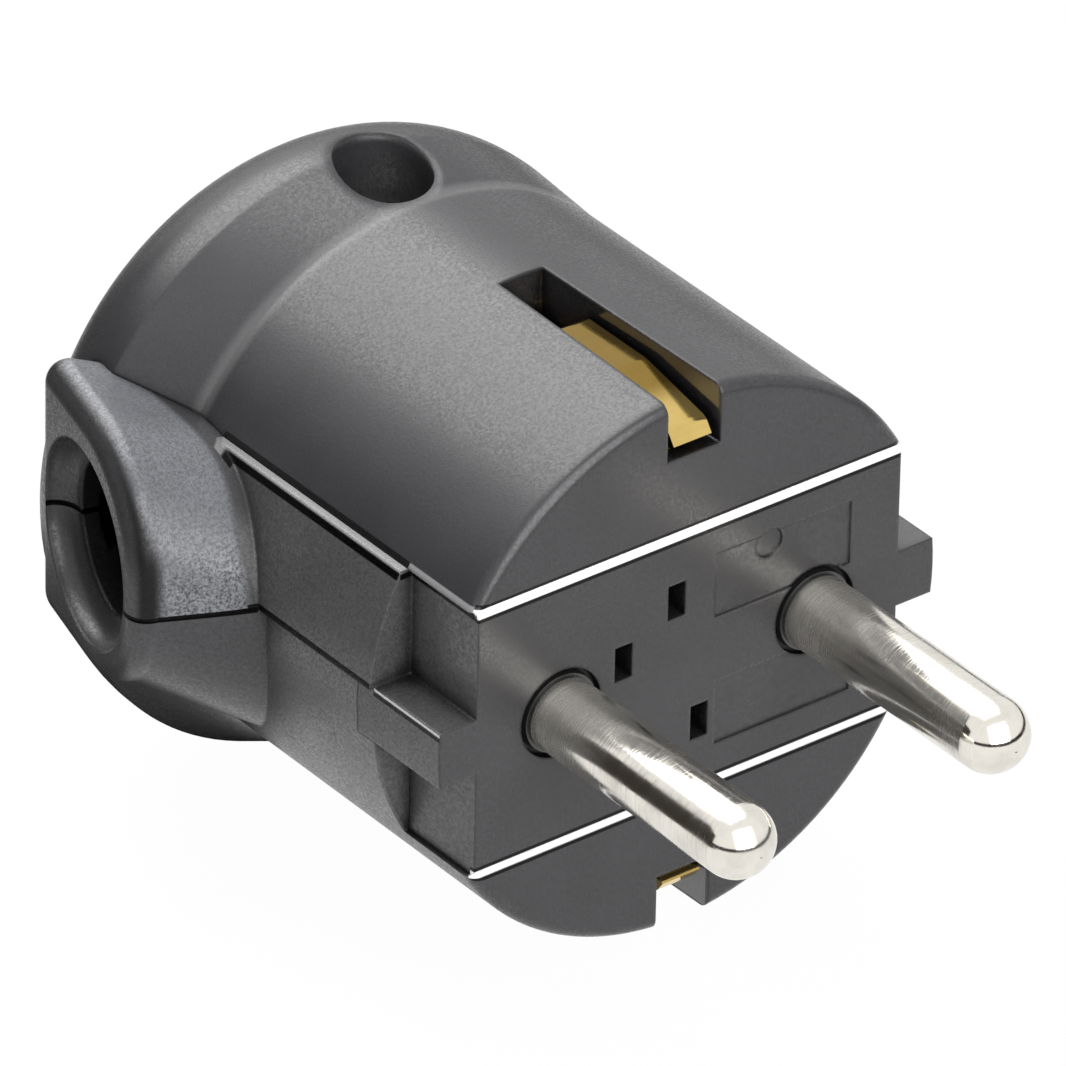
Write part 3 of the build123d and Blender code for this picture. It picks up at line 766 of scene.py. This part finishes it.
@dataclass(frozen=True)
class MetalFinish:
    """A turned, drawn or plated metal."""

    name: str
    colour: Rgb
    dull_colour: Rgb
    roughness: float
    dull_roughness: float
    rings: float
    streak: float
    cloud: float
    bump: float
    worn: Span = (-8.0 * MM, -0.5 * MM)
    worn_metal: float = 0.0
    worn_rough: float = 0.0
    # Painted dark over a range of depths: painted shade on a pin's seat at the face, and a painted dark
    # reflection on the brass behind the earth strip's front hook.
    painted_dark: Span = (-0.30 * MM, -0.12 * MM)
    painted_dark_colour: Rgb = (0.085, 0.085, 0.085)
    painted_dark_share: float = 0.0
    tip: Span = (-18.3 * MM, -16.2 * MM)

    def material(self, groups: ShaderGroups) -> bpy.types.Material:
        """Build the finish.

        Args:
            groups: the shared shader groups.

        Returns:
            The material.
        """
        made = bpy.data.materials.new(self.name)
        made.use_nodes = True
        tree = Tree(made.node_tree)
        shader = made.node_tree.nodes["Principled BSDF"]
        place = tree.node("ShaderNodeTexCoord").outputs["Object"]
        depth = tree.split(place)[1]
        rings = tree.product(tree.ramp(depth, *self.tip), self.rings)
        marks = tree.group(
            groups.polish, Vector=place, Rings=rings, Streak=self.streak, Cloud=self.cloud
        )
        worn = tree.product(tree.ramp(depth, *self.worn), marks["Tone"])
        # Painted dark by depth: shade on the pins' seats, a dark reflection on the brass.
        painted_dark = tree.product(tree.ramp(depth, *self.painted_dark), self.painted_dark_share)
        plate = tree.mix(marks["Tone"], rgba(self.dull_colour), rgba(self.colour))
        tree.feed(shader.inputs["Base Color"], tree.mix(painted_dark, plate, rgba(self.painted_dark_colour)))
        loss = tree.product(worn, self.worn_metal)
        tree.feed(shader.inputs["Metallic"], tree.math("SUBTRACT", 1.0, loss))
        dull = tree.math("MULTIPLY", marks["Dull"], self.dull_roughness - self.roughness, clamp=True)
        rough = tree.math("ADD", tree.product(worn, self.worn_rough), self.roughness)
        tree.feed(shader.inputs["Roughness"], tree.math("ADD", dull, rough))
        bump = tree.node("ShaderNodeBump")
        tree.fill(bump, Distance=self.bump, Height=marks["Height"])
        tree.feed(shader.inputs["Normal"], bump.outputs[0])
        return made


# Depths behind the face that the lines along the joints run between, in millimetres.
FACE = (-1.0, 0.35)
NOTCH = (0.2, 6.4)
RIB = (0.1, 6.4)
PANEL = (6.5, 24.5)
PANEL_TOP = (6.5, 26.6)
PANEL_FOOT = (6.45, 26.2)
PANEL_EDGE = (8.2, 15.0)
BEHIND = (10.0, 34.4)
CREASE = (26.85, 27.15)

# Distances from the middle plane that they lie between, in millimetres.
FACE_WIDTH = (0.0, 15.85)
NOTCH_WALL = (15.0, 16.6)
SIDE = (15.5, 17.3)
BARREL = (0.0, 17.5)
FLANK = (17.8, 19.4)
COLLAR = (18.86, 40.0)

# Painted highlights along the seams between carrier and covers across the face, on the edges of both.
SEAM_LINES = (
    JointLine(9.06, 0.24, FACE, FACE_WIDTH, Shade.LIGHT),
    JointLine(-9.10, 0.24, FACE, FACE_WIDTH, Shade.LIGHT),
)
CHARCOAL = (0.0265, 0.0258, 0.0282)
HOUSING = MouldedFinish(
    name="charcoal_grained",
    colour=CHARCOAL,
    wall_light_colour=CHARCOAL,
    # Painted light on the lower flank and the walls of the lower notch.
    notch=((-1.0 * MM, 17.6 * MM), (-10.5 * MM, 1.9 * MM)),
    notch_fade=4.5 * MM,
    notch_foot=3.0 * MM,
    notch_light_colour=(0.082, 0.082, 0.084),
    lines=SEAM_LINES + (
        # Painted shade in the gaps beside the seams, a painted highlight on the ledge over the notch and
        # painted shade above the panel, and a painted highlight on the edge at the panel's foot.
        JointLine(9.50, 0.08, FACE, FACE_WIDTH, Shade.DARK, 0.8),
        JointLine(-9.52, 0.08, FACE, FACE_WIDTH, Shade.DARK, 0.8),
        JointLine(9.30, 0.16, NOTCH, SIDE, Shade.LIGHT, 0.22),
        JointLine(9.34, 0.14, PANEL, SIDE, Shade.DARK, 0.6),
        JointLine(1.66, 0.10, PANEL_EDGE, FLANK, Shade.LIGHT, 0.06),
        # The collar's dark parting line, and a painted highlight along the crease where the barrel meets
        # the head.
        JointLine(1.74, 0.08, BEHIND, COLLAR, Shade.DARK),
        JointLine(0.0, 40.0, CREASE, BARREL, Shade.LIGHT, 0.06, 0.6),
    ),
)
CARRIER = MouldedFinish(
    name="charcoal_carrier",
    colour=(0.0275, 0.0268, 0.0290),
    # Painted light on the side panels and the walls of the notches.
    notch=((0.06 * MM, 23.0 * MM), (-9.3 * MM, 9.3 * MM)),
    notch_fade=8.0 * MM,
    notch_light_colour=(0.056, 0.055, 0.056),
    lines=SEAM_LINES + (
        # Painted shade in the gaps beside the seams, a painted highlight on the ledge over the panel, and
        # painted shade in the gap under it and at the panel's foot.
        JointLine(8.62, 0.08, FACE, FACE_WIDTH, Shade.DARK, 0.8),
        JointLine(-8.68, 0.08, FACE, FACE_WIDTH, Shade.DARK, 0.8),
        JointLine(9.16, 0.08, PANEL, SIDE, Shade.LIGHT, 0.14),
        JointLine(8.80, 0.16, PANEL_TOP, SIDE, Shade.DARK, 0.9),
        JointLine(2.00, 0.16, PANEL_FOOT, FLANK, Shade.DARK, 0.9),
        # The collar's dark parting line, a painted highlight on the rib's upper edge with painted shade
        # under it, and painted shade at the top of the notch.
        JointLine(1.86, 0.08, BEHIND, COLLAR, Shade.DARK),
        JointLine(1.66, 0.07, RIB, FLANK, Shade.LIGHT, 0.5, 0.03),
        JointLine(1.38, 0.10, RIB, FLANK, Shade.DARK, 0.8),
        JointLine(8.76, 0.16, NOTCH, NOTCH_WALL, Shade.DARK, 0.9),
    ),
)
NICKEL = MetalFinish(
    name="nickel_bright",
    colour=(0.83, 0.80, 0.73),
    dull_colour=(0.30, 0.28, 0.25),
    roughness=0.09,
    dull_roughness=0.30,
    rings=0.5,
    streak=0.2,
    cloud=0.45,
    bump=0.002 * MM,
    worn_metal=0.17,
    worn_rough=0.12,
    # Painted shade on the pin's seat at the face.
    painted_dark_share=1.0,
)
BRASS = MetalFinish(
    name="brass_plain",
    colour=(0.72, 0.53, 0.18),
    dull_colour=(0.34, 0.21, 0.06),
    # Painted dark reflection on the brass behind the earth strip's front hook.
    painted_dark=(2.2 * MM, 4.6 * MM),
    painted_dark_colour=(0.29, 0.19, 0.046),
    painted_dark_share=1.0,
    roughness=0.06,
    dull_roughness=0.22,
    rings=0.2,
    streak=0.2,
    cloud=0.4,
    bump=0.0006 * MM,
)
ZINC = MetalFinish(
    name="zinc_plated",
    colour=(0.62, 0.62, 0.61),
    dull_colour=(0.30, 0.30, 0.29),
    roughness=0.28,
    dull_roughness=0.5,
    rings=0.3,
    streak=0.4,
    cloud=0.5,
    bump=0.002 * MM,
)


Finish = Union[MouldedFinish, MetalFinish]


class Assembly:
    """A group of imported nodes, each with its finish."""

    members: Dict[str, Finish] = {}

    def dress(self, nodes: Dict[str, bpy.types.Object], materials: Dict[str, bpy.types.Material]) -> None:
        """Give each node its finish.

        Args:
            nodes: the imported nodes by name.
            materials: the materials by finish name.
        """
        for name, finish in self.members.items():
            mesh = nodes[name].data
            mesh.materials.clear()
            mesh.materials.append(materials[finish.name])
            LOG.info("%s: %s", name, finish.name)


@dataclass
class Mouldings(Assembly):
    """The two covers, the contact carrier and the cord clamp."""

    members: Dict[str, MouldedFinish] = field(default_factory=lambda: {
        "upper_cover": HOUSING,
        "lower_cover": HOUSING,
        "contact_carrier": CARRIER,
        "cord_clamp": CARRIER,
    })


@dataclass
class Contacts(Assembly):
    """Pins, earth strip and terminals."""

    members: Dict[str, MetalFinish] = field(default_factory=lambda: {
        "pin_left": NICKEL,
        "pin_right": NICKEL,
        "earth_strap": BRASS,
        "terminal_left": BRASS,
        "terminal_right": BRASS,
        "earth_terminal": BRASS,
        "housing_insert": BRASS,
    })


@dataclass
class Screws(Assembly):
    """Terminal, clamp and housing screws, rebuilt with a cut thread under their heads."""

    pitch: float = 0.5 * MM
    cut: float = 0.27 * MM
    steps: int = 20
    sides: int = 32
    ridge_sides: int = 4
    merge: float = 0.001 * MM
    near: float = 0.01 * MM
    head_share: float = 1.15
    crease: float = 35.0
    slot: str = "screws"
    members: Dict[str, MetalFinish] = field(default_factory=lambda: {
        "terminal_screw_left": ZINC,
        "terminal_screw_right": ZINC,
        "earth_screw": ZINC,
        "clamp_screw_front": ZINC,
        "clamp_screw_rear": ZINC,
        "housing_screw": ZINC,
    })

    def dress(self, nodes: Dict[str, bpy.types.Object], materials: Dict[str, bpy.types.Material]) -> None:
        """Build each screw in its finish, in place of its plain solid.

        Args:
            nodes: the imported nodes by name.
            materials: the materials by finish name.
        """
        tree = self._thread_tree()
        for name, finish in self.members.items():
            piece = self._build(name, nodes[name].data, tree, materials[finish.name])
            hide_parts(name)
            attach(piece, BODY)
            LOG.info("%s: %s, threaded", name, finish.name)

    def _thread_tree(self) -> bpy.types.NodeTree:
        """Build the geometry tree of a threaded shank that stands on the origin.

        Returns:
            The tree, with the shank's sizes and finish as its inputs.
        """
        tree, enter, leave = start_group(
            "cut_thread",
            "GeometryNodeTree",
            {
                "Radius": Kind.VALUE,
                "Length": Kind.VALUE,
                "Pitch": Kind.VALUE,
                "Cut": Kind.VALUE,
                "Steps": Kind.COUNT,
                "Sides": Kind.COUNT,
                "Finish": Kind.MATERIAL,
            },
            {"Shape": Kind.SHAPE},
        )
        root = tree.math("SUBTRACT", enter["Radius"], enter["Cut"])
        height = tree.math("SUBTRACT", enter["Length"], tree.product(enter["Cut"], 2.0))
        turns = tree.math("DIVIDE", height, enter["Pitch"])
        helix = tree.fill(
            tree.node("GeometryNodeCurveSpiral"),
            Resolution=enter["Steps"],
            Rotations=turns,
            Start_Radius=root,
            End_Radius=root,
            Height=height,
        )
        ridge = tree.fill(
            tree.node("GeometryNodeCurvePrimitiveCircle"),
            Resolution=self.ridge_sides,
            Radius=enter["Cut"],
        )
        sweep = tree.fill(
            tree.node("GeometryNodeCurveToMesh"),
            Curve=helix.outputs[0],
            Profile_Curve=ridge.outputs[0],
            Fill_Caps=True,
        )
        core = tree.fill(
            tree.node("GeometryNodeMeshCylinder"),
            Vertices=enter["Sides"],
            Radius=root,
            Depth=enter["Length"],
        )
        joined = tree.node("GeometryNodeJoinGeometry")
        for shape, rise in ((sweep, enter["Cut"]), (core, tree.product(enter["Length"], 0.5))):
            lift = tree.node("ShaderNodeCombineXYZ")
            tree.feed(lift.inputs["Z"], rise)
            moved = tree.fill(
                tree.node("GeometryNodeTransform"), Geometry=shape.outputs[0], Translation=lift.outputs[0]
            )
            tree.tree.links.new(moved.outputs[0], joined.inputs[0])
        real = tree.fill(tree.node("GeometryNodeRealizeInstances"), Geometry=joined.outputs[0])
        dressed = tree.fill(
            tree.node("GeometryNodeSetMaterial"), Geometry=real.outputs[0], Material=enter["Finish"]
        )
        tree.feed(leave["Shape"], dressed.outputs[0])
        return tree.tree

    def _shank(
        self, tree: bpy.types.NodeTree, radius: float, length: float, finish: bpy.types.Material
    ) -> bpy.types.Mesh:
        """Make one threaded shank as a plain mesh.

        Args:
            tree: the thread's geometry tree.
            radius: the thread's outer radius.
            length: the shank's length.
            finish: its material.

        Returns:
            The mesh, standing on the origin.
        """
        blank = bpy.data.objects.new("shank", bpy.data.meshes.new("shank"))
        bpy.context.scene.collection.objects.link(blank)
        cutter = blank.modifiers.new("thread", "NODES")
        cutter.node_group = tree
        sizes = {
            "Radius": radius,
            "Length": length,
            "Pitch": self.pitch,
            "Cut": self.cut,
            "Steps": self.steps,
            "Sides": self.sides,
            "Finish": finish,
        }
        for socket in tree.interface.items_tree:
            if socket.in_out == "INPUT":
                cutter[socket.identifier] = sizes[socket.name]
        ready = blank.evaluated_get(bpy.context.evaluated_depsgraph_get())
        mesh = bpy.data.meshes.new_from_object(ready)
        blank.modifiers.remove(cutter)
        bpy.data.objects.remove(blank)
        return mesh

    def _build(
        self, name: str, solid: bpy.types.Mesh, tree: bpy.types.NodeTree, finish: bpy.types.Material
    ) -> bpy.types.Object:
        """Make one screw: the solid's own head on a threaded shank.

        Args:
            name: the screw's node.
            solid: the node's mesh.
            tree: the thread's geometry tree.
            finish: the screw's material.

        Returns:
            The screw's object.
        """
        low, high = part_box(name)
        centre = (low + high) / 2
        form = bmesh.new()
        form.from_mesh(solid)
        bmesh.ops.remove_doubles(form, verts=form.verts, dist=self.merge)
        reach = {v: math.hypot(v.co.x - centre.x, v.co.y - centre.y) for v in form.verts}
        radius = max(r for v, r in reach.items() if v.co.z < low.z + self.near)
        under = min(v.co.z for v, r in reach.items() if r > radius * self.head_share)
        shank = [v for v in form.verts if v.co.z < under - self.near]
        bmesh.ops.delete(form, geom=shank, context="VERTS")
        bmesh.ops.holes_fill(form, edges=form.edges[:], sides=0)
        thread = self._shank(tree, radius, under - low.z, finish)
        thread.transform(Matrix.Translation((centre.x, centre.y, low.z)))
        form.from_mesh(thread)
        bmesh.ops.recalc_face_normals(form, faces=form.faces[:])
        mesh = bpy.data.meshes.new(f"{name}_threaded")
        form.to_mesh(mesh)
        form.free()
        mesh.shade_smooth()
        mesh.set_sharp_from_angle(angle=math.radians(self.crease))
        mesh.materials.append(finish)
        piece = bpy.data.objects.new(f"{name}_threaded", mesh)
        bpy.context.scene.collection.objects.link(piece)
        return piece


@dataclass(frozen=True)
class Softbox:
    """A rectangular lamp that faces the plug."""

    name: str
    towards: Point
    distance: float
    size: Tuple[float, float]
    power: float

    def place(self, target: Vector) -> bpy.types.Object:
        """Hang the lamp.

        Args:
            target: the point that it faces.

        Returns:
            The lamp's object.
        """
        lamp = bpy.data.lights.new(self.name, "AREA")
        lamp.shape = "RECTANGLE"
        lamp.size, lamp.size_y = self.size
        lamp.energy = self.power
        hung = bpy.data.objects.new(self.name, lamp)
        way = Vector(self.towards).normalized()
        turn = way.to_track_quat("Z", "Y").to_matrix().to_4x4()
        hung.matrix_world = Matrix.Translation(target + way * self.distance) @ turn
        bpy.context.scene.collection.objects.link(hung)
        return hung


@dataclass
class Studio:
    """Pale floor, soft lamps, dark cards that shape the reflections, and the camera."""

    azimuth: float = -38.15
    elevation: float = 32.21
    roll: float = 1.15
    place: Point = (-0.46629, -0.57851, 0.47680)
    lens: float = 505.06
    sensor: float = 36.0
    clip: Span = (0.01, 10.0)
    floor_drop: float = 0.3 * MM
    floor_half: float = 0.6
    floor_paper: Rgb = (0.86, 0.86, 0.86)
    floor_white: float = 0.975
    room: float = 0.12
    card_way: Tuple[float, float] = (-0.66, 0.75)
    card_near: float = 0.072
    card_far: float = 0.16
    card_half: float = 0.14
    card_height: float = 0.105
    card_lift: float = 0.1 * MM
    card_colour: Rgb = (0.030, 0.026, 0.022)
    # Where the dark sheet under the plug's head lies: a painted shadow of the plug on the floor, seen in
    # reflections.
    under: Tuple[Span, Span] = ((-0.036, 0.026), (0.0299, 0.064))
    band_radius: float = 0.22
    band_height: float = 0.032
    band_steps: int = 48
    lamps: Sequence[Softbox] = (
        Softbox("back_softbox", (0.05, 0.47, 0.88), 0.60, (0.54, 0.82), 6.7),
        Softbox("front_softbox", (-0.15, -0.86, 0.48), 0.70, (0.75, 0.72), 6.8),
    )

    def build(self, lowest: Vector, highest: Vector) -> None:
        """Set the scene round the plug.

        Args:
            lowest: the plug's lowest corner.
            highest: its highest corner.
        """
        scene = bpy.context.scene
        scene.view_settings.view_transform = "Standard"
        centre = (lowest + highest) / 2
        level = lowest.z - self.floor_drop
        for softbox in self.lamps:
            softbox.place(centre)
        self._floor(centre, level)
        self._cards(centre, level)
        self._surroundings()
        self._camera()

    @staticmethod
    def _sheet(name: str, corners: Sequence[Point]) -> bpy.types.Object:
        """Make a four-cornered sheet of the studio.

        Args:
            name: the sheet's name.
            corners: its corners in order.

        Returns:
            The sheet's object.
        """
        mesh = bpy.data.meshes.new(name)
        mesh.from_pydata(corners, [], [(0, 1, 2, 3)])
        made = bpy.data.objects.new(name, mesh)
        bpy.context.scene.collection.objects.link(made)
        made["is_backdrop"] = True
        return made

    @staticmethod
    def _seen(tree: Tree) -> Socket:
        """Find the rays that see the background: from the camera, off gloss or through glass.

        Args:
            tree: the material's or the world's tree.

        Returns:
            The socket of their mask.
        """
        path = tree.node("ShaderNodeLightPath").outputs
        mirrored = tree.math("MAXIMUM", path["Is Glossy Ray"], path["Is Transmission Ray"])
        return tree.math("MAXIMUM", path["Is Camera Ray"], mirrored)

    def _floor(self, centre: Vector, level: float) -> None:
        """Lay the pale floor, white to the camera and in reflections, with a faint shadow.

        Args:
            centre: the middle of the plug's box.
            level: the floor's height.
        """
        half = self.floor_half
        turns = ((-1, -1), (1, -1), (1, 1), (-1, 1))
        corners = [(centre.x + x * half, centre.y + y * half, level) for x, y in turns]
        floor = self._sheet("floor", corners)
        made = bpy.data.materials.new("floor_white")
        made.use_nodes = True
        tree = Tree(made.node_tree)
        made.node_tree.nodes.clear()
        paper = tree.node("ShaderNodeBsdfDiffuse")
        paper.inputs["Color"].default_value = rgba(self.floor_paper)
        white = tree.node("ShaderNodeEmission")
        both = tree.node("ShaderNodeMixShader")
        tree.feed(both.inputs[0], tree.product(self._seen(tree), self.floor_white))
        tree.feed(both.inputs[1], paper.outputs[0])
        tree.feed(both.inputs[2], white.outputs[0])
        tree.feed(tree.node("ShaderNodeOutputMaterial").inputs[0], both.outputs[0])
        floor.data.materials.append(made)

    def _cards(self, centre: Vector, level: float) -> None:
        """Set dark cards behind, under and low around the plug, which show only in reflections; the card
        under the plug's head is a painted shadow of the plug on the floor.

        Args:
            centre: the middle of the plug's box.
            level: the floor's height.
        """
        way = Vector((*self.card_way, 0.0)).normalized()
        along = Vector((-way.y, way.x, 0.0)) * self.card_half
        start = Vector((centre.x, centre.y, level + self.card_lift))
        near = start + way * self.card_near
        far = start + way * self.card_far
        top = far + Vector((0.0, 0.0, self.card_height))
        made = bpy.data.materials.new("card_dark")
        made.use_nodes = True
        shader = made.node_tree.nodes["Principled BSDF"]
        shader.inputs["Base Color"].default_value = rgba(self.card_colour)
        shader.inputs["Roughness"].default_value = 1.0
        shader.inputs["Specular IOR Level"].default_value = 0.0
        (left, right), (front, back) = self.under
        under = ((left, front), (right, front), (right, back), (left, back))
        lift = start.z
        sheets = {
            "card_lying": [near - along, near + along, far + along, far - along],
            "card_standing": [far - along, far + along, top + along, top - along],
            # A painted shadow of the plug on the floor, seen in reflections.
            "shadow_card_under": [(x, y, lift) for x, y in under],
        }
        turns = [2 * math.pi * step / self.band_steps for step in range(self.band_steps + 1)]
        ring = [start + Vector((math.cos(t), math.sin(t), 0.0)) * self.band_radius for t in turns]
        rise = Vector((0.0, 0.0, self.band_height))
        for step, (first, second) in enumerate(zip(ring, ring[1:])):
            sheets[f"band_{step:02d}"] = [first, second, second + rise, first + rise]
        for name, corners in sheets.items():
            card = self._sheet(name, corners)
            card.visible_camera = False
            card.visible_diffuse = False
            card.visible_shadow = False
            card.data.materials.append(made)

    def _surroundings(self) -> None:
        """Set the room: white to the camera and in reflections, and dim as a source of light."""
        world = bpy.data.worlds.new("room")
        bpy.context.scene.world = world
        world.use_nodes = True
        tree = Tree(world.node_tree)
        world.node_tree.nodes.clear()
        room = tree.node("ShaderNodeBackground")
        tree.fill(room, Color=rgba((1.0, 1.0, 1.0)), Strength=self.room)
        white = tree.node("ShaderNodeBackground")
        tree.fill(white, Color=rgba((1.0, 1.0, 1.0)), Strength=1.0)
        both = tree.node("ShaderNodeMixShader")
        tree.feed(both.inputs[0], self._seen(tree))
        tree.feed(both.inputs[1], room.outputs[0])
        tree.feed(both.inputs[2], white.outputs[0])
        tree.feed(tree.node("ShaderNodeOutputWorld").inputs[0], both.outputs[0])

    def _camera(self) -> None:
        """Place the camera at the photograph's viewing angle."""
        turn, rise, roll = (math.radians(v) for v in (self.azimuth, self.elevation, self.roll))
        back = Vector((math.sin(turn) * math.cos(rise), -math.cos(turn) * math.cos(rise), math.sin(rise)))
        level = Vector((math.cos(turn), math.sin(turn), 0.0))
        above = back.cross(level)
        right = level * math.cos(roll) + above * math.sin(roll)
        up = above * math.cos(roll) - level * math.sin(roll)
        data = bpy.data.cameras.new("camera")
        data.lens = self.lens
        data.sensor_width = self.sensor
        data.clip_start, data.clip_end = self.clip
        camera = bpy.data.objects.new("camera", data)
        axes = Matrix((right, up, back)).transposed()
        camera.matrix_world = Matrix.Translation(self.place) @ axes.to_4x4()
        bpy.context.scene.collection.objects.link(camera)
        bpy.context.scene.camera = camera


def main() -> None:
    """Load the solids, dress each sub-assembly and set the studio."""
    logging.basicConfig(level=logging.INFO, format="%(name)s %(message)s")
    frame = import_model()
    cad_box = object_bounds()
    groups = ShaderGroups()
    finishes = (HOUSING, CARRIER, NICKEL, BRASS, ZINC)
    materials = {finish.name: finish.material(groups) for finish in finishes}
    assemblies: List[Assembly] = [Mouldings(), Contacts(), Screws()]
    for assembly in assemblies:
        assembly.dress(frame["nodes"], materials)
    Studio().build(*cad_box)


if __name__ == "__main__":
    main()
